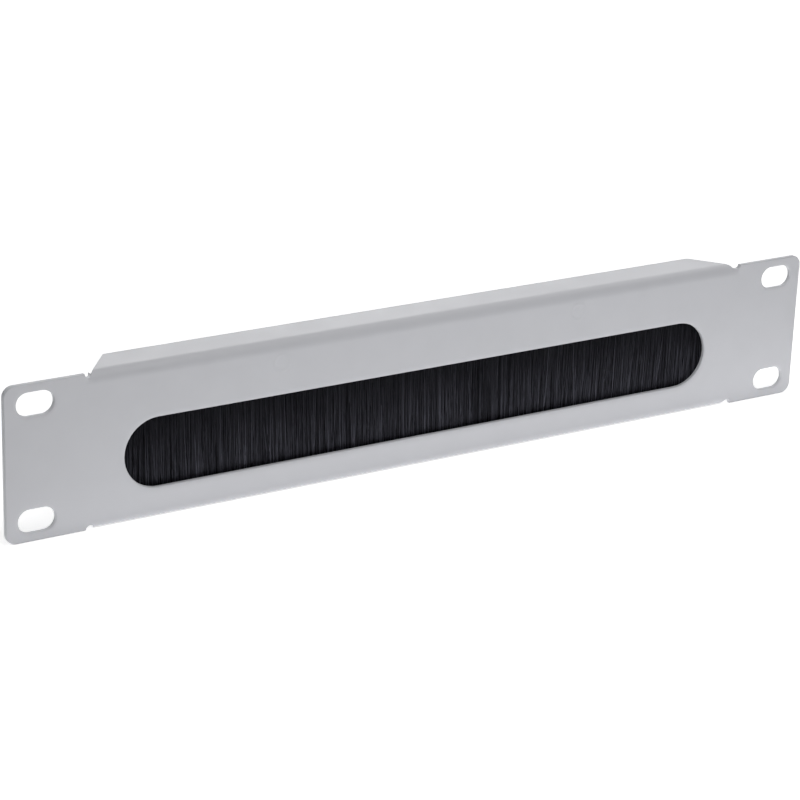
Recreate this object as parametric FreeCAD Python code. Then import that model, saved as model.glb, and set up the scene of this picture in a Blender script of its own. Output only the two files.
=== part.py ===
import FreeCAD, Part
import math
import os

# Rack brush strip panel, in millimetres.
# X runs along the panel, Y from its face to the rear, Z up.
# The origin is the centre of the four mounting slots, on the rear face of the sheet.

# Folded sheet
panel_length = 254.0
panel_height = 43.0
sheet_thickness = 1.2
ear_corner_radius = 3.0
upper_fold_radius = 3.0       # outside of the bend
lower_fold_radius = 2.0
flange_depth = 12.0           # from the front face to the free edge
flange_end_slant = 9.3        # the free edge ends this far short of the notches
edge_bevel = 0.3              # broken outline of the ears on the front
rim_bevel = 0.2               # broken rims of the slots and the window

# Relief notch between each ear and each fold
ear_length = 23.7             # from the end of the panel to the middle of a notch
notch_radius = 1.25
notch_depth = 1.2
twist_margin = 0.25           # the twisted strip under a notch is narrower than the notch
flange_cut_start = 1.6        # depth from the front face at which the slanted end begins

# Mounting slots, 236.525 by 31.75 apart for a ten-inch rack
slot_end_margin = 8.7375      # from the end of the panel to the middle of a slot
slot_edge_margin = 5.625      # from the long edge of the panel to the middle of a slot
slot_length = 10.4
slot_width = 6.4
slot_roll_width = 0.8         # the punch draws the face in around each slot
slot_roll_depth = 0.12

# Cable window
window_side_margin = 9.8      # from the middle of a notch to the end of the window
window_top_margin = 12.05     # from the start of the upper fold to the top of the window
window_height = 19.6
window_roll_width = 1.4       # the face is drawn in around it, gently at first and then more
window_roll_depth = 0.2
window_steep_width = 0.7
window_steep_start = 0.05     # depth at which the steeper part of the roll begins

# Threaded studs pressed into the sheet, their heads closed over by the coat
stud_spacing = 95.0
stud_fold_margin = 3.0        # from the start of the upper fold to the middle of a stud
stud_diameter = 3.0
stud_length = 6.6             # from the rear face of the sheet
stud_tip_chamfer = 0.4
stud_head_diameter = 4.6
stud_head_thickness = 0.75
coat_skin = 0.1

# Nut and washer on each stud
nut_across_flats = 5.5
nut_height = 2.4
nut_clearance = 0.05
washer_diameter = 6.0
washer_thickness = 0.5
washer_hole = 3.2

# Brush holder, an extruded strip with a socket along its lower half
brush_overlap = 4.5           # holder and brush run past each end of the window
holder_fold_gap = 0.3         # from its upper edge to the start of the fold
holder_window_gap = 0.4       # from its lower edge to the top of the window
holder_flange = 1.2
holder_rear_wall = 1.0
holder_top_wall = 0.85
holder_lip = 0.8
holder_mouth = 2.7
holder_stud_hole = 3.4
holder_edge_radius = 0.3

# Folded metal channel that grips the brush
channel_width = 4.0
channel_height = 3.6
channel_thickness = 0.5
channel_bend_radius = 1.0
channel_mouth = 2.2
crimp_height = 0.9
channel_side_gap = 0.15
channel_top_gap = 0.1

# Core wire that the bristles are folded over
core_diameter = 1.4
core_gap = 0.02
root_gap = 0.05               # between the folded bristles and the channel

# Bristles
tip_flange_gap = 2.8          # from the tips down to the lower flange
root_thickness = 2.1
tip_thickness = 3.0
ridge_pitch = 1.0
ridge_depth = 0.3
lean_most = 1.6               # sideways drift of the tips towards the right end
lean_centre = 68.0
lean_spread = 30.0
ripple = 0.16                 # small uneven drift of neighbouring tufts
ripple_length = 7.3

# Places worked out from the sizes above
front_y = -sheet_thickness
half_height = panel_height / 2
slot_spacing_x = panel_length - 2 * slot_end_margin
slot_spacing_z = panel_height - 2 * slot_edge_margin
notch_x = panel_length / 2 - ear_length
flange_half_back = notch_x - flange_end_slant
window_length = 2 * (notch_x - window_side_margin)
brush_length = window_length + 2 * brush_overlap
upper_fold_start = half_height - upper_fold_radius
lower_fold_start = half_height - lower_fold_radius
free_edge_y = front_y + flange_depth
notch_centre_z = half_height - notch_depth + notch_radius
twist_half = notch_radius - twist_margin
window_top = upper_fold_start - window_top_margin
window_z = window_top - window_height / 2
stud_z = upper_fold_start - stud_fold_margin
bristle_tip_z = tip_flange_gap + sheet_thickness - half_height
holder_top = upper_fold_start - holder_fold_gap
holder_bottom = window_top + holder_window_gap
socket_width = channel_width + 2 * channel_side_gap
channel_bottom = holder_bottom + holder_lip
brush_y = holder_flange + socket_width / 2
socket_top = channel_bottom + channel_height + channel_top_gap + holder_top_wall
root_half = channel_width / 2 - channel_thickness - root_gap
core_z = channel_bottom + channel_height - channel_thickness - root_gap - root_half
washer_y = holder_flange
nut_y = washer_y + washer_thickness
reach = 1.0                   # how far a cutting tool runs past a face


def point(x, y, z):
    return FreeCAD.Vector(x, y, z)


def line(start, end):
    return Part.LineSegment(start, end).toShape()


def arc(start, middle, end):
    return Part.Arc(start, middle, end).toShape()


def box(low, high):
    size = [high[i] - low[i] for i in range(3)]
    return Part.makeBox(size[0], size[1], size[2], point(*low))


def round_bar(diameter, x, z, y_start, y_end):
    # a cylinder along Y
    return Part.makeCylinder(diameter / 2, y_end - y_start, point(x, y_start, z), point(0, 1, 0))


def slot_wire(length, width, x, y, z):
    # a straight-sided, round-ended outline in a plane of constant Y, long in X
    r = width / 2
    straight = length / 2 - r
    return Part.Wire([
        line(point(x - straight, y, z + r), point(x + straight, y, z + r)),
        arc(point(x + straight, y, z + r), point(x + straight + r, y, z), point(x + straight, y, z - r)),
        line(point(x + straight, y, z - r), point(x - straight, y, z - r)),
        arc(point(x - straight, y, z - r), point(x - straight - r, y, z), point(x - straight, y, z + r)),
    ])


def slot_bar(length, width, x, z, y_start, y_end):
    return Part.Face(slot_wire(length, width, x, y_start, z)).extrude(point(0, y_end - y_start, 0))


def arc_yz(x, centre_y, centre_z, r, from_deg, to_deg):
    # an arc in a plane of constant X; the angle is measured from +Y towards +Z
    def at(deg):
        a = math.radians(deg)
        return point(x, centre_y + r * math.cos(a), centre_z + r * math.sin(a))
    return arc(at(from_deg), at((from_deg + to_deg) / 2), at(to_deg))


def fold(radius):
    # quarter bend and flange in one section along the upper edge, drawn out along X
    x = -(notch_x - twist_half)
    start_z = half_height - radius
    bend_y = front_y + radius
    flange_inner = half_height - sheet_thickness
    edges = [
        arc_yz(x, bend_y, start_z, radius, 180, 90),
        line(point(x, bend_y, half_height), point(x, free_edge_y, half_height)),
        line(point(x, free_edge_y, half_height), point(x, free_edge_y, flange_inner)),
        line(point(x, free_edge_y, flange_inner), point(x, bend_y, flange_inner)),
        arc_yz(x, bend_y, start_z, radius - sheet_thickness, 90, 180),
        line(point(x, 0, start_z), point(x, front_y, start_z)),
    ]
    folded = Part.Face(Part.Wire(edges)).extrude(point(-2 * x, 0, 0))
    for side in (-1, 1):
        folded = folded.cut(flange_end_cutter(side, radius))
    return folded


def flange_end_cutter(side, radius):
    # the flange gets shorter towards its free edge
    start_z = half_height - radius
    start = point(side * (notch_x - notch_radius), front_y + flange_cut_start, start_z)
    back = point(side * flange_half_back, free_edge_y, start_z)
    beyond = back + (back - start).normalize() * reach
    outside = side * (notch_x + reach)
    corners = [start, beyond, point(outside, beyond.y, start_z), point(outside, start.y, start_z), start]
    return Part.Face(Part.makePolygon(corners)).extrude(point(0, 0, radius + reach))


def twist(side, radius):
    # the sheet turns from the flat ear into the bend over the width of the notch
    x_fold = side * (notch_x - twist_half)
    x_ear = side * (notch_x + twist_half)
    start_z = half_height - radius
    bend_y = front_y + radius
    flange_inner = half_height - sheet_thickness
    bent = Part.Wire([
        arc_yz(x_fold, bend_y, start_z, radius, 180, 90),
        line(point(x_fold, bend_y, half_height), point(x_fold, bend_y, flange_inner)),
        arc_yz(x_fold, bend_y, start_z, radius - sheet_thickness, 90, 180),
        line(point(x_fold, 0, start_z), point(x_fold, front_y, start_z)),
    ])
    flat = Part.makePolygon([
        point(x_ear, front_y, start_z), point(x_ear, front_y, half_height),
        point(x_ear, 0, half_height), point(x_ear, 0, start_z),
        point(x_ear, front_y, start_z)])
    return Part.makeLoft([bent, flat], True, True)


def folded_edge(radius):
    return [fold(radius), twist(-1, radius), twist(1, radius)]


def rolled_rim(length, width, x, z, slopes):
    # slopes around an opening as pairs of margin and depth from the outside in,
    # run on past the face so that they cut it cleanly
    def ring(margin, depth):
        return slot_wire(length + 2 * margin, width + 2 * margin, x, front_y + depth, z)
    (outer, level), (inner, depth) = slopes[:2]
    run_on = ring(2 * outer - inner, level - depth)
    return Part.makeLoft([run_on] + [ring(*slope) for slope in slopes[1:]], True, True)


def ear(side):
    # flat end plate with its two outer corners rounded
    inner = notch_x + twist_half
    outer = panel_length / 2
    low, high = sorted((side * inner, side * outer))
    plate = box((low, front_y, -half_height), (high, 0, half_height))
    corners = [e for e in plate.Edges
               if abs(e.CenterOfMass.x - side * outer) < 1e-6 and abs(e.CenterOfMass.y - front_y / 2) < 1e-6]
    return plate.makeFillet(ear_corner_radius, corners)


def stud_places():
    return {"left": -stud_spacing / 2, "right": stud_spacing / 2}


def lies_at(edge, y):
    places = [v.Point.y for v in edge.Vertexes] + [edge.CenterOfMass.y]
    return all(abs(place - y) < 1e-6 for place in places)


def is_rim(edge):
    # the inner edge of a rolled rim
    middle = edge.CenterOfMass
    if abs(middle.x) > notch_x:
        return lies_at(edge, front_y + slot_roll_depth)
    in_window = abs(middle.z - window_z) < window_height / 2 + 1e-6
    return in_window and lies_at(edge, front_y + window_roll_depth)


def is_ear_outline(edge):
    middle = edge.CenterOfMass
    roll_end = (slot_spacing_x + slot_length) / 2 + slot_roll_width
    roll_top = (slot_spacing_z + slot_width) / 2 + slot_roll_width
    outside_slots = abs(middle.x) > roll_end + 1e-6 or abs(middle.z) > roll_top + 1e-6
    return outside_slots and abs(middle.x) > notch_x + twist_half and lies_at(edge, front_y)


def front_panel():
    ear_inner = notch_x + twist_half
    sheet = box((-ear_inner, front_y, -lower_fold_start), (ear_inner, 0, upper_fold_start))
    upper = folded_edge(upper_fold_radius)
    lower = [piece.mirror(point(0, 0, 0), point(0, 0, 1)) for piece in folded_edge(lower_fold_radius)]
    sheet = sheet.fuse(upper + lower + [ear(-1), ear(1)])

    window_slopes = [(window_roll_width, 0), (window_steep_width, window_steep_start), (0, window_roll_depth)]
    slot_slopes = [(slot_roll_width, 0), (0, slot_roll_depth)]
    cutters = [slot_bar(window_length, window_height, 0, window_z, front_y - reach, reach)]
    rolls = [rolled_rim(window_length, window_height, 0, window_z, window_slopes)]
    for side_x in (-1, 1):
        for side_z in (-1, 1):
            x, z = side_x * slot_spacing_x / 2, side_z * slot_spacing_z / 2
            cutters.append(slot_bar(slot_length, slot_width, x, z, front_y - reach, reach))
            rolls.append(rolled_rim(slot_length, slot_width, x, z, slot_slopes))
            cutters.append(round_bar(2 * notch_radius, side_x * notch_x, side_z * notch_centre_z,
                                     front_y - reach, front_y + upper_fold_radius + reach))
    head_y = front_y + coat_skin
    for x in stud_places().values():
        cutters.append(round_bar(stud_head_diameter, x, stud_z, head_y, head_y + stud_head_thickness))
        cutters.append(round_bar(stud_diameter, x, stud_z, head_y, reach))
    sheet = sheet.cut(cutters).removeSplitter().cut(rolls)
    sheet = sheet.makeChamfer(rim_bevel, [e for e in sheet.Edges if is_rim(e)])
    return sheet.makeChamfer(edge_bevel, [e for e in sheet.Edges if is_ear_outline(e)])


def stud(x):
    # flat head inside the sheet, plain shank to the rear with a chamfered tip
    head_y = front_y + coat_skin
    head = round_bar(stud_head_diameter, x, stud_z, head_y, head_y + stud_head_thickness)
    shank = round_bar(stud_diameter, x, stud_z, head_y, stud_length)
    tip = [e for e in shank.Edges if abs(e.CenterOfMass.y - stud_length) < 1e-6]
    shank = shank.makeChamfer(stud_tip_chamfer, tip)
    return head.fuse(shank).removeSplitter()


def washer(x):
    disc = round_bar(washer_diameter, x, stud_z, washer_y, washer_y + washer_thickness)
    return disc.cut(round_bar(washer_hole, x, stud_z, washer_y - reach, nut_y + reach))


def nut(x):
    # hexagon with two flats level, its corners turned down on both faces
    corner = nut_across_flats / math.sqrt(3)
    outline = [point(x + corner * math.cos(math.radians(a)), nut_y,
                     stud_z + corner * math.sin(math.radians(a))) for a in range(0, 420, 60)]
    body = Part.Face(Part.makePolygon(outline)).extrude(point(0, nut_height, 0))
    turned_off = (corner - nut_across_flats / 2) * math.tan(math.radians(30))
    turned = Part.makeCylinder(corner, nut_height - 2 * turned_off,
                               point(x, nut_y + turned_off, stud_z), point(0, 1, 0))
    front_cone = Part.makeCone(nut_across_flats / 2, corner, turned_off,
                               point(x, nut_y, stud_z), point(0, 1, 0))
    rear_cone = Part.makeCone(corner, nut_across_flats / 2, turned_off,
                              point(x, nut_y + nut_height - turned_off, stud_z), point(0, 1, 0))
    body = body.common(turned.fuse([front_cone, rear_cone]))
    bore = stud_diameter + 2 * nut_clearance
    return body.cut(round_bar(bore, x, stud_z, nut_y - reach, nut_y + nut_height + reach))


def drawn_along_x(corners, length):
    # a closed section in the YZ plane, drawn out evenly to both sides
    wire = Part.makePolygon([point(-length / 2, y, z) for y, z in corners + corners[:1]])
    return Part.Face(wire).extrude(point(length, 0, 0))


def brush_holder():
    # flat strip against the sheet, with a socket below that is open at the bottom
    rear = holder_flange + socket_width + holder_rear_wall
    mouth_front = brush_y - holder_mouth / 2
    mouth_rear = brush_y + holder_mouth / 2
    lip_top = holder_bottom + holder_lip
    ceiling = socket_top - holder_top_wall
    section = [
        (0, holder_top), (holder_flange, holder_top), (holder_flange, socket_top),
        (rear, socket_top), (rear, holder_bottom), (mouth_rear, holder_bottom),
        (mouth_rear, lip_top), (rear - holder_rear_wall, lip_top),
        (rear - holder_rear_wall, ceiling), (holder_flange, ceiling),
        (holder_flange, lip_top), (mouth_front, lip_top), (mouth_front, holder_bottom),
        (0, holder_bottom),
    ]
    strip = drawn_along_x(section, brush_length)
    rear_edges = [e for e in strip.Edges
                  if abs(e.CenterOfMass.x) < 1e-6 and abs(e.CenterOfMass.y - rear) < 1e-6]
    strip = strip.makeFillet(holder_edge_radius, rear_edges)
    for x in stud_places().values():
        strip = strip.cut(round_bar(holder_stud_hole, x, stud_z, -reach, holder_flange + reach))
    return strip


def channel_outline(half_width, height, bend, mouth_half, x):
    # an upside-down U whose legs lean in below the crimp line
    base = channel_bottom
    top = base + height
    edges = [
        line(point(x, brush_y - mouth_half, base), point(x, brush_y - half_width, base + crimp_height)),
        line(point(x, brush_y - half_width, base + crimp_height), point(x, brush_y - half_width, top - bend)),
        arc_yz(x, brush_y - half_width + bend, top - bend, bend, 180, 90),
        line(point(x, brush_y - half_width + bend, top), point(x, brush_y + half_width - bend, top)),
        arc_yz(x, brush_y + half_width - bend, top - bend, bend, 90, 0),
        line(point(x, brush_y + half_width, top - bend), point(x, brush_y + half_width, base + crimp_height)),
        line(point(x, brush_y + half_width, base + crimp_height), point(x, brush_y + mouth_half, base)),
        line(point(x, brush_y + mouth_half, base), point(x, brush_y - mouth_half, base)),
    ]
    return Part.Face(Part.Wire(edges))


def brush_channel():
    x = -brush_length / 2
    outer = channel_outline(channel_width / 2, channel_height, channel_bend_radius,
                            channel_mouth / 2 + channel_thickness, x)
    inner = channel_outline(channel_width / 2 - channel_thickness, channel_height - channel_thickness,
                            channel_bend_radius - channel_thickness, channel_mouth / 2, x)
    return outer.cut(inner).extrude(point(brush_length, 0, 0))


def core_wire():
    return Part.makeCylinder(core_diameter / 2, brush_length,
                             point(-brush_length / 2, brush_y, core_z), point(1, 0, 0))


def lean(x):
    # how far the tips at x have drifted sideways from their roots
    swept = lean_most * math.exp(-((x - lean_centre) / lean_spread) ** 2)
    return -swept + ripple * math.sin(2 * math.pi * x / ripple_length)


def curtain():
    # ridged sheet of bristles, thicker and swept a little at the tips
    count = round(brush_length / ridge_pitch)
    stations = [-brush_length / 2 + i * brush_length / (2 * count) for i in range(2 * count + 1)]

    def section(z, thickness, sweep):
        face = []
        for i, x in enumerate(stations):
            inner = ridge_depth / 2 if i % 2 else 0
            inside = 0 < i < len(stations) - 1
            face.append((x + (lean(x) * sweep if inside else 0), thickness / 2 - inner))
        rear = [point(x, brush_y + half, z) for x, half in face]
        front = [point(x, brush_y - half, z) for x, half in reversed(face)]
        return Part.makePolygon(rear + front + rear[:1])

    root = section(channel_bottom, root_thickness, 0)
    tips = section(bristle_tip_z, tip_thickness, 1)
    return Part.makeLoft([root, tips], True, True)


def bristles():
    # folded over the core wire inside the channel, hanging as a curtain below it
    x = -brush_length / 2
    loop = Part.makeCylinder(root_half, brush_length, point(x, brush_y, core_z), point(1, 0, 0))
    neck = drawn_along_x([
        (brush_y - root_half, core_z), (brush_y + root_half, core_z),
        (brush_y + root_half, channel_bottom + crimp_height),
        (brush_y + root_thickness / 2, channel_bottom), (brush_y - root_thickness / 2, channel_bottom),
        (brush_y - root_half, channel_bottom + crimp_height)], brush_length)
    core = Part.makeCylinder(core_diameter / 2 + core_gap, brush_length,
                             point(x, brush_y, core_z), point(1, 0, 0))
    return neck.fuse(loop).cut(core).fuse(curtain()).removeSplitter()


def save(name, shape):
    solid = shape.Solids[0] if len(shape.Solids) == 1 else shape
    solid.exportStep("parts/" + name + ".step")
    print(name, "solids", len(shape.Solids), "valid", shape.isValid(), "volume", round(shape.Volume, 1))


def main():
    os.makedirs("parts", exist_ok=True)
    save("front_panel", front_panel())
    save("brush_holder", brush_holder())
    save("brush_channel", brush_channel())
    save("core_wire", core_wire())
    save("bristles", bristles())
    for side, x in stud_places().items():
        save("stud_" + side, stud(x))
        save("washer_" + side, washer(x))
        save("nut_" + side, nut(x))


main()
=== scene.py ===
import math

import bpy
import numpy as np
from mathutils import Matrix, Vector


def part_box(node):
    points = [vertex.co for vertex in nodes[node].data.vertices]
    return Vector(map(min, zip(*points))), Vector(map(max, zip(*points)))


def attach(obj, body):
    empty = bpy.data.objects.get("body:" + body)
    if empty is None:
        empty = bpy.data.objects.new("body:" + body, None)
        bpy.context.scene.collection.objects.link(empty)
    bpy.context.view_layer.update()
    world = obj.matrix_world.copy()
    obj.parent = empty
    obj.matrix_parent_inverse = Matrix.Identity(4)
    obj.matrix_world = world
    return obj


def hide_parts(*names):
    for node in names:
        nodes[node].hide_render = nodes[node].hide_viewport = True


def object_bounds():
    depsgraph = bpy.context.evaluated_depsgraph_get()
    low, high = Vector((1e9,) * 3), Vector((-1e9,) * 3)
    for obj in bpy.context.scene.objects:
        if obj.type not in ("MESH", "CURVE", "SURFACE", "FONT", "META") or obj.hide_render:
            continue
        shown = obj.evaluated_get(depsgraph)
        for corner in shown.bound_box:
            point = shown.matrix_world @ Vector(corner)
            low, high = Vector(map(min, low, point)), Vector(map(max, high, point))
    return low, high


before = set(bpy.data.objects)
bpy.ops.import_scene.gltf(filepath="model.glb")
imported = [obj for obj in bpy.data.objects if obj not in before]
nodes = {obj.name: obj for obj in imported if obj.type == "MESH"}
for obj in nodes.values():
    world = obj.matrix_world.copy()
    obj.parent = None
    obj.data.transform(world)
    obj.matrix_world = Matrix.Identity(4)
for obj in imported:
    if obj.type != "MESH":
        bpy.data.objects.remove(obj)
cadLow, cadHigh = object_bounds()
mm = 0.001
print("loaded", len(nodes), "solids")


# Small helpers for meshes and materials

def buildPiece(name, points, faces, smooth=True):
    mesh = bpy.data.meshes.new(name)
    mesh.from_pydata(points, [], faces)
    mesh.validate()
    mesh.update()
    if smooth:
        mesh.shade_smooth()
    else:
        mesh.shade_flat()
    piece = bpy.data.objects.new(name, mesh)
    bpy.context.scene.collection.objects.link(piece)
    return piece


def startMaterial(name, **sockets):
    mat = bpy.data.materials.new(name)
    mat.use_nodes = True
    shader = mat.node_tree.nodes["Principled BSDF"]
    for socket, value in sockets.items():
        shader.inputs[socket.replace("_", " ")].default_value = value
    return mat, mat.node_tree, shader


def feed(tree, shader, **outputs):
    # joins each output to the shader's socket of that name
    for socket, output in outputs.items():
        tree.links.new(output, shader.inputs[socket.replace("_", " ")])


def addNode(tree, kind, **settings):
    node = tree.nodes.new(kind)
    for key, value in settings.items():
        setattr(node, key, value)
    return node


def mathNode(tree, operation, first, second=None):
    node = addNode(tree, "ShaderNodeMath", operation=operation)
    for slot, value in enumerate((first, second)):
        if value is None:
            continue
        if isinstance(value, (int, float)):
            node.inputs[slot].default_value = value
        else:
            tree.links.new(value, node.inputs[slot])
    return node.outputs[0]


def placeOf(tree, stretch=(1, 1, 1)):
    coords = addNode(tree, "ShaderNodeTexCoord")
    mapping = addNode(tree, "ShaderNodeMapping")
    mapping.inputs["Scale"].default_value = stretch
    tree.links.new(coords.outputs["Object"], mapping.inputs["Vector"])
    return mapping.outputs["Vector"]


def noiseAt(tree, place, grain, detail=2.0):
    noise = addNode(tree, "ShaderNodeTexNoise")
    noise.inputs["Scale"].default_value = 1 / grain
    noise.inputs["Detail"].default_value = detail
    tree.links.new(place, noise.inputs["Vector"])
    return noise.outputs["Fac"]


def spread(tree, value, low, high, fromLow=0.3, fromHigh=0.7, smooth=False):
    # a noise seldom leaves 0.3 to 0.7, so that is what gets stretched unless a range is given
    node = addNode(tree, "ShaderNodeMapRange")
    if smooth:
        node.interpolation_type = "SMOOTHSTEP"
    node.inputs["From Min"].default_value = fromLow
    node.inputs["From Max"].default_value = fromHigh
    node.inputs["To Min"].default_value = low
    node.inputs["To Max"].default_value = high
    tree.links.new(value, node.inputs["Value"])
    return node.outputs["Result"]


def tint(tree, factor, darker, lighter):
    node = addNode(tree, "ShaderNodeMix", data_type="RGBA")
    node.inputs["A"].default_value = (*darker, 1)
    node.inputs["B"].default_value = (*lighter, 1)
    tree.links.new(factor, node.inputs["Factor"])
    return node.outputs["Result"]


def bumpOf(tree, height, depth, before=None):
    bump = addNode(tree, "ShaderNodeBump")
    bump.inputs["Distance"].default_value = depth
    tree.links.new(height, bump.inputs["Height"])
    if before is not None:
        tree.links.new(before, bump.inputs["Normal"])
    return bump.outputs["Normal"]


def finishNode(name, mat):
    nodes[name].data.materials.clear()
    nodes[name].data.materials.append(mat)


# Powder coat on the folded sheet

coat = {
    "darker": (0.581, 0.586, 0.616),
    "lighter": (0.597, 0.602, 0.632),
    "mottleSize": 9 * mm,
    "grainSize": 0.35 * mm,     # the fine orange peel of the coat
    "grainDepth": 0.010 * mm,
    "roughLow": 0.40,
    "roughHigh": 0.50,
    "specular": 0.45,
    "rimWidth": 0.7 * mm,       # the rim of each stud head shows through the coat as a faint ring
    "rimHeight": 0.07 * mm,
}


def studRims(tree, place):
    # 1 on the rim of either stud head, on the front face only, and fading to 0 beside it
    studLow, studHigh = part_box("stud_right")
    studX, studZ = (studLow.x + studHigh.x) / 2, (studLow.z + studHigh.z) / 2
    headRadius = (studHigh.x - studLow.x) / 2
    split = addNode(tree, "ShaderNodeSeparateXYZ")
    tree.links.new(place, split.inputs[0])
    across = mathNode(tree, "SUBTRACT", mathNode(tree, "ABSOLUTE", split.outputs["X"]), studX)
    up = mathNode(tree, "SUBTRACT", split.outputs["Z"], studZ)
    reach = mathNode(tree, "SQRT", mathNode(tree, "ADD", mathNode(tree, "MULTIPLY", across, across),
                                            mathNode(tree, "MULTIPLY", up, up)))
    offRim = mathNode(tree, "ABSOLUTE", mathNode(tree, "SUBTRACT", reach, headRadius))
    rim = spread(tree, offRim, 1, 0, 0, coat["rimWidth"], smooth=True)
    onFront = mathNode(tree, "LESS_THAN", split.outputs["Y"], studLow.y)
    return mathNode(tree, "MULTIPLY", rim, onFront)


def makeCoat():
    mat, tree, shader = startMaterial("powderCoat", Specular_IOR_Level=coat["specular"])
    place = placeOf(tree)
    mottle = noiseAt(tree, place, coat["mottleSize"])
    grain = bumpOf(tree, noiseAt(tree, place, coat["grainSize"]), coat["grainDepth"])
    feed(tree, shader,
         Base_Color=tint(tree, spread(tree, mottle, 0, 1), coat["darker"], coat["lighter"]),
         Roughness=spread(tree, mottle, coat["roughLow"], coat["roughHigh"]),
         Normal=bumpOf(tree, studRims(tree, place), coat["rimHeight"], before=grain))
    return mat


finishNode("front_panel", makeCoat())
print("sheet coated")


# Aluminium holder, galvanised channel, core wire

holder = {
    "darker": (0.66, 0.67, 0.68),
    "lighter": (0.76, 0.77, 0.78),
    "streakSize": 0.5 * mm,
    "streakLength": 60,         # how many times longer than wide the drawing lines are
    "streakDepth": 0.006 * mm,
    "roughLow": 0.30,
    "roughHigh": 0.44,
}

channel = {
    "darker": (0.50, 0.51, 0.52),
    "lighter": (0.66, 0.67, 0.68),
    "spangle": 2.4 * mm,        # size of the zinc's crystals
    "roughLow": 0.38,
    "roughHigh": 0.55,
}

wire = {
    "darker": (0.42, 0.42, 0.42),
    "lighter": (0.56, 0.56, 0.56),
    "streakSize": 0.3 * mm,
    "streakLength": 20,
    "streakDepth": 0.004 * mm,
    "roughLow": 0.30,
    "roughHigh": 0.45,
}


def makeDrawnMetal(name, finish):
    mat, tree, shader = startMaterial(name, Metallic=1.0)
    place = placeOf(tree, (1 / finish["streakLength"], 1, 1))
    streaks = noiseAt(tree, place, finish["streakSize"], detail=3.0)
    feed(tree, shader,
         Base_Color=tint(tree, spread(tree, streaks, 0, 1), finish["darker"], finish["lighter"]),
         Roughness=spread(tree, streaks, finish["roughLow"], finish["roughHigh"]),
         Normal=bumpOf(tree, streaks, finish["streakDepth"]))
    return mat


def makeGalvanised():
    mat, tree, shader = startMaterial("galvanisedSteel", Metallic=1.0)
    crystals = addNode(tree, "ShaderNodeTexVoronoi")
    crystals.inputs["Scale"].default_value = 1 / channel["spangle"]
    tree.links.new(placeOf(tree), crystals.inputs["Vector"])
    tone = addNode(tree, "ShaderNodeSeparateColor")
    tree.links.new(crystals.outputs["Color"], tone.inputs[0])
    feed(tree, shader,
         Base_Color=tint(tree, tone.outputs[0], channel["darker"], channel["lighter"]),
         Roughness=spread(tree, tone.outputs[1], channel["roughLow"], channel["roughHigh"], 0, 1))
    return mat


finishNode("brush_holder", makeDrawnMetal("millAluminium", holder))
finishNode("brush_channel", makeGalvanised())
finishNode("core_wire", makeDrawnMetal("wireSteel", wire))
print("holder, channel and wire finished")


# Zinc-plated studs, washers and nuts

stud = {
    "turnSteps": 32,            # points round the thread
    "rowsPerPitch": 6,
    "pitch": 0.5 * mm,
    "threadDepth": 0.27 * mm,
    "shankRadius": 1.5 * mm,
    "neckY": -0.35 * mm,        # rear of the head
    "threadStart": 0.0,         # at the rear face of the sheet
    "tipTaper": 0.5 * mm,       # length of the tapered tip
    "taperSlope": 0.8,
}

zinc = {
    "darker": (0.60, 0.62, 0.65),
    "lighter": (0.72, 0.73, 0.75),
    "cloudSize": 1.2 * mm,
    "roughLow": 0.22,
    "roughHigh": 0.36,
}


def makeZinc():
    mat, tree, shader = startMaterial("zincPlate", Metallic=1.0)
    clouds = noiseAt(tree, placeOf(tree), zinc["cloudSize"])
    feed(tree, shader,
         Base_Color=tint(tree, spread(tree, clouds, 0, 1), zinc["darker"], zinc["lighter"]),
         Roughness=spread(tree, clouds, zinc["roughLow"], zinc["roughHigh"]))
    return mat


def threadRadius(y, turn, tipY):
    # the thread rises and falls round the shank, and the tip is tapered
    shank = stud["shankRadius"]
    phase = (y / stud["pitch"] - turn) % 1
    groove = stud["threadDepth"] * (1 - abs(2 * phase - 1))
    if y <= stud["threadStart"]:
        groove = 0
    taper = shank - max(0, y - (tipY - stud["tipTaper"])) * stud["taperSlope"]
    return min(shank - groove, taper)


def makeStud(side, mat):
    low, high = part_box("stud_" + side)
    centreX, centreZ = (low.x + high.x) / 2, (low.z + high.z) / 2
    steps, start = stud["turnSteps"], stud["threadStart"]
    head, shank = [(high.x - low.x) / 2] * steps, [stud["shankRadius"]] * steps
    closed = [0] * steps
    # rings from the head to the tip, each with its place along Y and the radius of each point
    rings = [(low.y, closed), (low.y, head), (stud["neckY"], head), (stud["neckY"], shank)]
    count = round((high.y - start) / stud["pitch"] * stud["rowsPerPitch"])
    for i in range(count + 1):
        y = start + (high.y - start) * i / count
        rings.append((y, [threadRadius(y, k / steps, high.y) for k in range(steps)]))
    rings.append((high.y, closed))
    points, faces = [], []
    for y, radii in rings:
        for k, r in enumerate(radii):
            a = 2 * math.pi * k / steps
            points.append((centreX + r * math.cos(a), y, centreZ + r * math.sin(a)))
    for i in range(len(rings) - 1):
        for k in range(steps):
            n = (k + 1) % steps
            faces.append((i * steps + k, (i + 1) * steps + k, (i + 1) * steps + n, i * steps + n))
    piece = buildPiece("threadedStud_" + side, points, faces)
    piece.data.materials.append(mat)
    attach(piece, "root")
    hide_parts("stud_" + side)


zincPlate = makeZinc()
for side in ("left", "right"):
    makeStud(side, zincPlate)
    finishNode("washer_" + side, zincPlate)
    finishNode("nut_" + side, zincPlate)
print("fasteners finished")


# Bristles: thousands of fibres folded over the core wire

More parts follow.
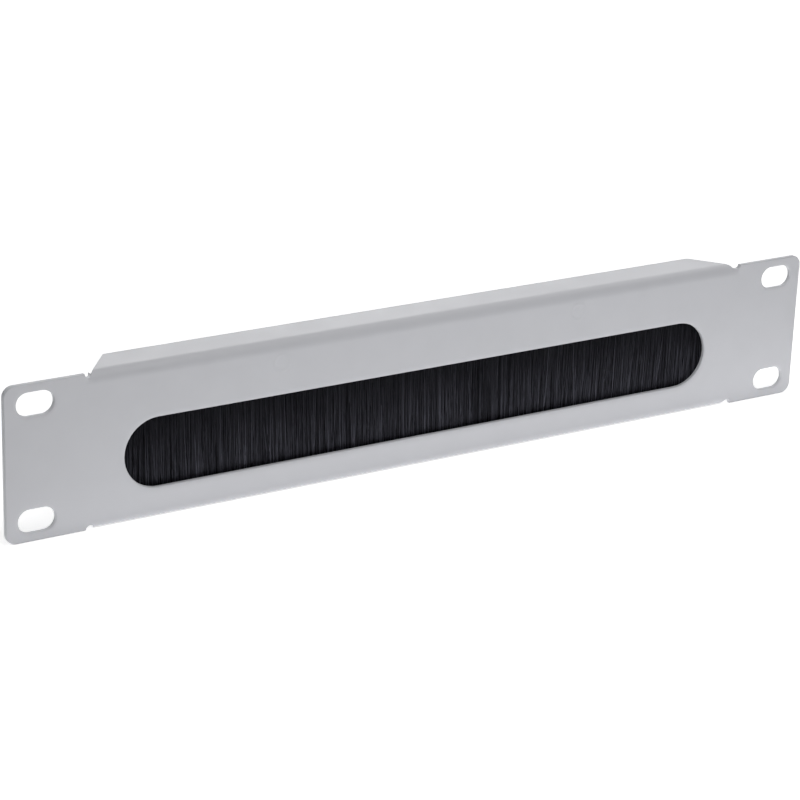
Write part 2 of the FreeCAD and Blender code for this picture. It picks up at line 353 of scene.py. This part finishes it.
brush = {
    "seed": 41,
    "count": 6000,
    "steps": 5,                 # lengths in each fibre
    "sides": 3,
    "fibreRadius": 0.115 * mm,
    "taper": 0.25,              # the share of it that a fibre loses on the way to its tip
    "margin": 1.2,              # fibre radii kept free at both ends of the row and under the tips
    # layers across the curtain, from -1 in its front face to 1 in its rear face
    "outerEvery": 6,            # one fibre in so many lies right in the front face, and one in the rear face
    "outerRoots": (0.88, 1.0),
    "outerTips": (0.80, 1.0),
    "innerReach": 0.85,         # the others lie between the faces, this far out at most
    "innerSpan": 0.75,
    "innerCrowd": 1.6,          # more than 1 brings them nearer to the faces
    "frontShare": 0.62,         # the share of them in the front half of the curtain
    "crossing": 0.4,            # how far a fibre changes its layer on the way down
    "rootHalf": 0.95 * mm,      # half the depth of the curtain at the roots and at the tips
    "tipHalf": 1.38 * mm,
    # from root to tip
    "rootRise": 0.5 * mm,       # how far the roots reach into the channel
    "trim": 0.25 * mm,          # unevenness of the trimmed tips
    "splay": 1.0 * mm,          # how far the curtain swings towards the sheet at its tips
    "splayCurve": 1.3,          # more than 1 bends the fibres late on their way
    "lean": 0.46 * mm,          # ordinary sideways wander of a tip
    "strayShare": 0.24,         # some wander further and cross their neighbours
    "strayLean": 1.4 * mm,
    "leanLimit": 2,             # no tip wanders further than so many times its lean
    "leanCurve": 1.4,           # as splayCurve
    "sweep": 1.6 * mm,          # near the right end the tips swing to the left
    "sweepCentre": 68 * mm,
    "sweepSpread": 30 * mm,
    "clump": 0.06 * mm,         # neighbours lean the same way, in waves
    # each wave's share, length and turn from layer to layer
    "clumpWaves": ((1.0, 2.1 * mm, 1.7), (0.7, 0.83 * mm, -2.3), (0.5, 5.9 * mm, 0.6)),
    "bow": 0.12 * mm,           # sideways curve of a fibre between root and tip
    # tones: 0 is the darkest nylon and 1 the palest
    "toneShape": (1.15, 3.7),   # of the beta curve that they are drawn from: many dark and few pale
    "toneTurn": 0.618034,       # golden ratio, by which each tone differs most from its neighbours
    "toneJitter": 0.12,
    "innerPaintedShade": 0.85,          # painted shade: the fibres behind are darker than those in the faces
    "paleShare": 0.06,          # a few fibres catch more light
    "paleTones": (0.45, 0.80),
    "toneGain": 1.70,
    "paintedShadeAndLightRows": (0, 0.16, 0.36, 0.57, 0.86, 1.26),  # painted shade, dark at the root, and painted light, brighter towards the tip
    "paintedLightDrift": 0.08,          # and painted light, a little lighter towards the right end
    "paintedLightSpan": 45 * mm,
    "packedTone": 0.12,         # the folded roots and the heart
    # the bundle bent over the wire
    "wireGap": 0.02 * mm,
    "mouthSpare": 0.1 * mm,     # how much wider than the roots it is at the channel's mouth
    "shoulder": 0.9 * mm,       # it has its full width this far above the mouth
    "slitHalf": 0.12 * mm,      # half the slit between its two legs
    "archSteps": 14,
    "wireSteps": 16,
    "wireDip": 0.44,            # how far the arc round the wire runs below its middle, in half turns
    # the packed heart of the bundle, behind the loose fibres
    "heartHalf": 0.45 * mm,
    "heartRidge": 0.15 * mm,
    "heartPitch": 0.5 * mm,
    "heartEnd": 3,              # fibre radii kept free at both ends
    "heartStop": 1.3 * mm,      # how far above the tips it ends
    "heartStep": 0.08 * mm,     # and its lower edge is uneven
}

nylon = {
    "darker": (0.0026, 0.0026, 0.0048),
    "lighter": (0.131, 0.132, 0.162),
    "roughLow": 0.48,
    "roughHigh": 0.62,
    "specular": 0.08,
}


def makeNylon():
    mat, tree, shader = startMaterial("blackNylon", Specular_IOR_Level=nylon["specular"])
    # each fibre's own tone, with painted shade at the root and on the inner fibres and painted light towards
    # the tip and right end
    tone = addNode(tree, "ShaderNodeAttribute", attribute_name="fibreToneAndPaintedShading").outputs["Fac"]
    feed(tree, shader,
         Base_Color=tint(tree, tone, nylon["darker"], nylon["lighter"]),
         Roughness=spread(tree, tone, nylon["roughLow"], nylon["roughHigh"], 0, 1))
    return mat


def placeRoots(low, high, margin, rng):
    # evenly spaced fibres lie in the two faces of the curtain, where they show, and the rest between them
    count, every, reach = brush["count"], brush["outerEvery"], brush["innerReach"]
    order = np.arange(count)
    rootX = low.x + margin + (high.x - low.x - 2 * margin) * (order + rng.uniform(0, 1, count)) / count
    outer = (order % every == 0, order % every == every // 2)   # in the front face, in the rear face
    half = np.where(rng.uniform(0, 1, count) < brush["frontShare"], -1.0, 1.0)
    layer = half * (reach - brush["innerSpan"] * rng.uniform(0, 1, count) ** brush["innerCrowd"])
    tipLayer = (layer + brush["crossing"] * rng.normal(0, 1, count)).clip(-reach, reach)
    for group, face in zip(outer, (-1, 1)):
        layer[group] = face * rng.uniform(*brush["outerRoots"], group.sum())
        tipLayer[group] = face * rng.uniform(*brush["outerTips"], group.sum())
    return rootX, layer, tipLayer, outer


def clumpDrift(x, layer):
    return brush["clump"] * sum(share * np.sin(x / length + turn * layer)
                                for share, length, turn in brush["clumpWaves"])


def placeTips(low, high, margin, rootX, layer, rng):
    count, limit = brush["count"], brush["leanLimit"]
    stray = rng.uniform(0, 1, count) < brush["strayShare"]
    wander = np.where(stray, brush["strayLean"], brush["lean"]) * rng.normal(0, 1, count).clip(-limit, limit)
    swept = -brush["sweep"] * np.exp(-((rootX - brush["sweepCentre"]) / brush["sweepSpread"]) ** 2)
    tipX = (rootX + wander + swept + clumpDrift(rootX, layer)).clip(low.x + margin, high.x - margin)
    tipZ = low.z + margin + rng.uniform(0, brush["trim"], count)
    return tipX, tipZ


def drawTones(rootX, outer, rng):
    count = brush["count"]
    tone = rng.beta(*brush["toneShape"], count)
    # neighbours in the outer faces differ, so that fine lines show rather than broad bands
    for group in outer:
        ranked = np.sort(tone[group])
        size = len(ranked)
        turns = (np.arange(size) * brush["toneTurn"] + brush["toneJitter"] * rng.uniform(0, 1, size)) % 1
        tone[group] = ranked[(turns * size).astype(int)]
    # painted shade on the fibres that lie behind the two faces
    tone[~(outer[0] | outer[1])] *= brush["innerPaintedShade"]
    pale = rng.uniform(0, 1, count) < brush["paleShare"]
    tone[pale] = rng.uniform(*brush["paleTones"], pale.sum())
    # painted light: the fibres get a little lighter towards the right end
    return tone * (1 + brush["paintedLightDrift"] * np.tanh(rootX / brush["paintedLightSpan"]))


def looseFibres(low, high, middleY, topZ):
    rng = np.random.default_rng(brush["seed"])
    count, steps, sides = brush["count"], brush["steps"], brush["sides"]
    margin = brush["fibreRadius"] * brush["margin"]
    rootX, layer, tipLayer, outer = placeRoots(low, high, margin, rng)
    tipX, tipZ = placeTips(low, high, margin, rootX, layer, rng)
    bow = rng.normal(0, brush["bow"], count)
    turn = rng.uniform(0, 2 * math.pi, count)
    tone = drawTones(rootX, outer, rng)
    paintedShadeAndLightRows = brush["paintedShadeAndLightRows"]

    points = np.zeros((count, steps + 1, sides, 3))
    tones = np.zeros((count, steps + 1, sides))
    for i in range(steps + 1):
        t = i / steps           # 0 at the root and 1 at the tip
        x = rootX + (tipX - rootX) * t ** brush["leanCurve"] + bow * math.sin(math.pi * t)
        depth = layer + (tipLayer - layer) * t
        y = middleY + depth * (brush["rootHalf"] + (brush["tipHalf"] - brush["rootHalf"]) * t)
        y -= brush["splay"] * t ** brush["splayCurve"]
        z = topZ + (tipZ - topZ) * t
        # painted shade near the root of each fibre and painted light towards its tip
        paler = np.interp(t, np.linspace(0, 1, len(paintedShadeAndLightRows)), paintedShadeAndLightRows)
        tones[:, i] = (tone * brush["toneGain"] * paler)[:, None]
        r = brush["fibreRadius"] * (1 - brush["taper"] * t)
        for k in range(sides):
            a = turn + 2 * math.pi * k / sides
            points[:, i, k] = np.stack([x + r * np.cos(a), y + r * np.sin(a), z], 1)

    first = np.arange(count) * (steps + 1) * sides
    faces = []
    for i in range(steps):
        for k in range(sides):
            n = (k + 1) % sides
            corners = (i * sides + k, i * sides + n, (i + 1) * sides + n, (i + 1) * sides + k)
            faces += np.stack([first + c for c in corners], 1).tolist()
    faces += np.stack([first + steps * sides + k for k in range(sides)], 1).tolist()   # the cut tips
    return points.reshape(-1, 3).tolist(), faces, tones.ravel()


def closedTube(rings, size):
    # the sides and both ends of a tube with so many rings of so many points
    faces = []
    for i in range(rings - 1):
        for k in range(size):
            n = (k + 1) % size
            faces.append((i * size + k, i * size + n, (i + 1) * size + n, (i + 1) * size + k))
    faces.append(tuple(reversed(range(size))))
    faces.append(tuple((rings - 1) * size + k for k in range(size)))
    return faces


def arc(radius, centreZ, start, end, steps):
    angles = np.linspace(start, end, steps + 1)
    return [(radius * math.cos(a), centreZ + radius * math.sin(a)) for a in angles]


def foldedRoots(low, high, middleY, mouthZ):
    # the bundle bent over the core wire: an arch above it and two legs down to the mouth
    coreLow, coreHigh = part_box("core_wire")
    coreZ = (coreLow.z + coreHigh.z) / 2
    inner = (coreHigh.z - coreLow.z) / 2 + brush["wireGap"]
    outer = high.z - coreZ
    mouth, slit = brush["rootHalf"] + brush["mouthSpare"], brush["slitHalf"]
    shoulderZ = mouthZ + brush["shoulder"]
    dip = brush["wireDip"] * math.pi
    section = [(mouth, mouthZ), (outer, shoulderZ)]
    section += arc(outer, coreZ, 0, math.pi, brush["archSteps"])
    section += [(-outer, shoulderZ), (-mouth, mouthZ), (-slit, mouthZ), (-slit, coreZ - inner)]
    section += arc(inner, coreZ, math.pi + dip, -dip, brush["wireSteps"])
    section += [(slit, coreZ - inner), (slit, mouthZ)]
    points = [(x, middleY + y, z) for x in (low.x, high.x) for y, z in section]
    return points, closedTube(2, len(section))


def packedHeart(low, high, middleY, topZ):
    # a thin ridged slab, so that no light shows through the curtain
    end = brush["fibreRadius"] * brush["heartEnd"]
    length = high.x - low.x - 2 * end
    count = round(length / brush["heartPitch"])
    points = []
    for i in range(count + 1):
        x = low.x + end + length * i / count
        half = brush["heartHalf"] + (brush["heartRidge"] if i % 2 else -brush["heartRidge"])
        stopZ = low.z + brush["heartStop"] + (i * 7 % 5) * brush["heartStep"]
        section = ((-half, topZ), (half, topZ), (half, stopZ), (-half, stopZ))
        points += [(x, middleY + y, z) for y, z in section]
    return points, closedTube(count + 1, 4)


def makeBristles():
    low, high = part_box("bristles")
    channelLow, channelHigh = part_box("brush_channel")
    middleY = (channelLow.y + channelHigh.y) / 2
    topZ = channelLow.z + brush["rootRise"]
    points, faces, tones = looseFibres(low, high, middleY, topZ)
    for morePoints, moreFaces in (foldedRoots(low, high, middleY, channelLow.z),
                                  packedHeart(low, high, middleY, topZ)):
        first = len(points)
        points += morePoints
        faces += [[first + corner for corner in face] for face in moreFaces]
    packed = np.full(len(points) - len(tones), brush["packedTone"])
    piece = buildPiece("nylonBristles", points, faces)
    shade = piece.data.attributes.new("fibreToneAndPaintedShading", "FLOAT", "POINT")
    shade.data.foreach_set("value", np.concatenate([tones, packed]).astype(np.float32))
    piece.data.materials.append(makeNylon())
    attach(piece, "root")
    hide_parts("bristles")
    print("bristles:", len(piece.data.polygons), "faces")


makeBristles()


# Studio: pale floor, soft lamps, camera at the photo's angle

tableZ = cadLow.z + 0.05 * mm   # the lamps of the lit table lie just above the floor

studio = {
    "floorHalf": 4.0,
    "floorColour": (0.90, 0.90, 0.90),
    "floorRough": 0.9,
    "floorSpecular": 0.1,
    "floorGlow": 0.60,          # added for the camera and mirrors only, so that the floor reads as white
    "farGlow": 1.0,             # the same where the lamps no longer reach
    "farFrom": 0.7,
    "farTo": 1.6,
    "ambient": (0.98, 0.99, 1.0),
    "ambientStrength": 0.02,
    "lamps": [
        # name, place, aim, width, height, watts, colour
        ("topRight", (0.6, 0.1, 1.0), (0.0, 0.0, 0.0), 0.6, 0.8, 3.0, (1.0, 1.0, 1.0)),
        ("behindMid", (0.0, 1.1, 0.65), (0.0, 0.0, 0.0), 1.6, 0.6, 3.4, (1.0, 1.0, 1.0)),
        ("behindRight", (0.7, 0.9, 0.6), (0.05, 0.0, 0.0), 0.8, 0.6, 1.75, (1.0, 1.0, 1.0)),
        ("overFront", (0.0, -0.25, 0.6), (0.0, -0.18, 0.0), 0.4, 0.3, 1.62, (1.0, 1.0, 1.0)),
        ("rightSide", (0.55, -0.35, 0.10), (0.1, 0.0, 0.0), 0.5, 0.4, 0.14, (0.90, 0.94, 1.0)),
        # the lit table in front, which brightens the lower edge and the underside of the bends
        ("table", (-0.03, -0.40, tableZ), (-0.03, -0.40, 1.0), 0.45, 0.9, 0.67, (1.0, 1.0, 1.0)),
        ("nearTable", (0.03, -0.10, tableZ), (0.03, -0.10, 1.0), 0.26, 0.18, 0.032, (1.0, 1.0, 1.0)),
        ("tableByEdge", (0.01, -0.014, tableZ), (0.01, -0.014, 1.0), 0.28, 0.02, 0.005, (1.0, 1.0, 1.0)),
    ],
}

camera = {
    "place": (-0.376108, -0.586038, 0.258028),
    "aim": (-0.010628, -0.0012, -0.001162),
    "roll": 1.9819,             # degrees
    "lens": 121.610,
    "sensor": 36.0,
    "nearest": 0.01,            # what lies nearer or farther isn't drawn
    "farthest": 20.0,
}


def anyRay(tree, *kinds):
    # 1 for the rays of these kinds, and 0 for all others
    path = addNode(tree, "ShaderNodeLightPath")
    seen = path.outputs[kinds[0]]
    for kind in kinds[1:]:
        seen = mathNode(tree, "MAXIMUM", seen, path.outputs[kind])
    return seen


def makeWorld():
    # white to the camera, in mirrors and through glass, and a faint light for everything else
    world = bpy.data.worlds.new("studioAir")
    bpy.context.scene.world = world
    world.use_nodes = True
    tree = world.node_tree
    seen = anyRay(tree, "Is Camera Ray", "Is Glossy Ray", "Is Transmission Ray")
    feed(tree, tree.nodes["Background"],
         Color=tint(tree, seen, studio["ambient"], (1, 1, 1)),
         Strength=spread(tree, seen, studio["ambientStrength"], 1.0, 0, 1))


def makeFloor():
    half, z = studio["floorHalf"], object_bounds()[0].z
    corners = [(-half, -half, z), (half, -half, z), (half, half, z), (-half, half, z)]
    floor = buildPiece("studioFloor", corners, [(0, 1, 2, 3)], smooth=False)
    mat, tree, shader = startMaterial("paleFloor", Roughness=studio["floorRough"],
                                      Specular_IOR_Level=studio["floorSpecular"],
                                      Base_Color=(*studio["floorColour"], 1), Emission_Color=(1, 1, 1, 1))
    reach = addNode(tree, "ShaderNodeVectorMath", operation="LENGTH")
    tree.links.new(placeOf(tree), reach.inputs[0])
    glow = spread(tree, reach.outputs["Value"], studio["floorGlow"], studio["farGlow"],
                  studio["farFrom"], studio["farTo"], smooth=True)
    seen = anyRay(tree, "Is Camera Ray", "Is Glossy Ray")
    feed(tree, shader, Emission_Strength=mathNode(tree, "MULTIPLY", seen, glow))
    floor.data.materials.append(mat)


def aimAt(thing, place, target, roll=0.0):
    direction = Vector(target) - Vector(place)
    turned = direction.to_track_quat("-Z", "Y").to_matrix().to_4x4()
    thing.matrix_world = Matrix.Translation(place) @ turned @ Matrix.Rotation(math.radians(roll), 4, "Z")


def makeLamps():
    for name, place, target, width, height, watts, colour in studio["lamps"]:
        light = bpy.data.lights.new(name, "AREA")
        light.shape = "RECTANGLE"
        light.size, light.size_y = width, height
        light.energy = watts
        light.color = colour
        lamp = bpy.data.objects.new(name, light)
        bpy.context.scene.collection.objects.link(lamp)
        lamp.visible_camera = False
        aimAt(lamp, place, target)


def makeCamera():
    data = bpy.data.cameras.new("photoCamera")
    data.sensor_width = camera["sensor"]
    data.lens = camera["lens"]
    data.clip_start, data.clip_end = camera["nearest"], camera["farthest"]
    eye = bpy.data.objects.new("photoCamera", data)
    bpy.context.scene.collection.objects.link(eye)
    aimAt(eye, camera["place"], camera["aim"], camera["roll"])
    bpy.context.scene.camera = eye


makeWorld()
makeFloor()
makeLamps()
makeCamera()
bpy.context.scene.view_settings.view_transform = "Standard"
print("studio ready")
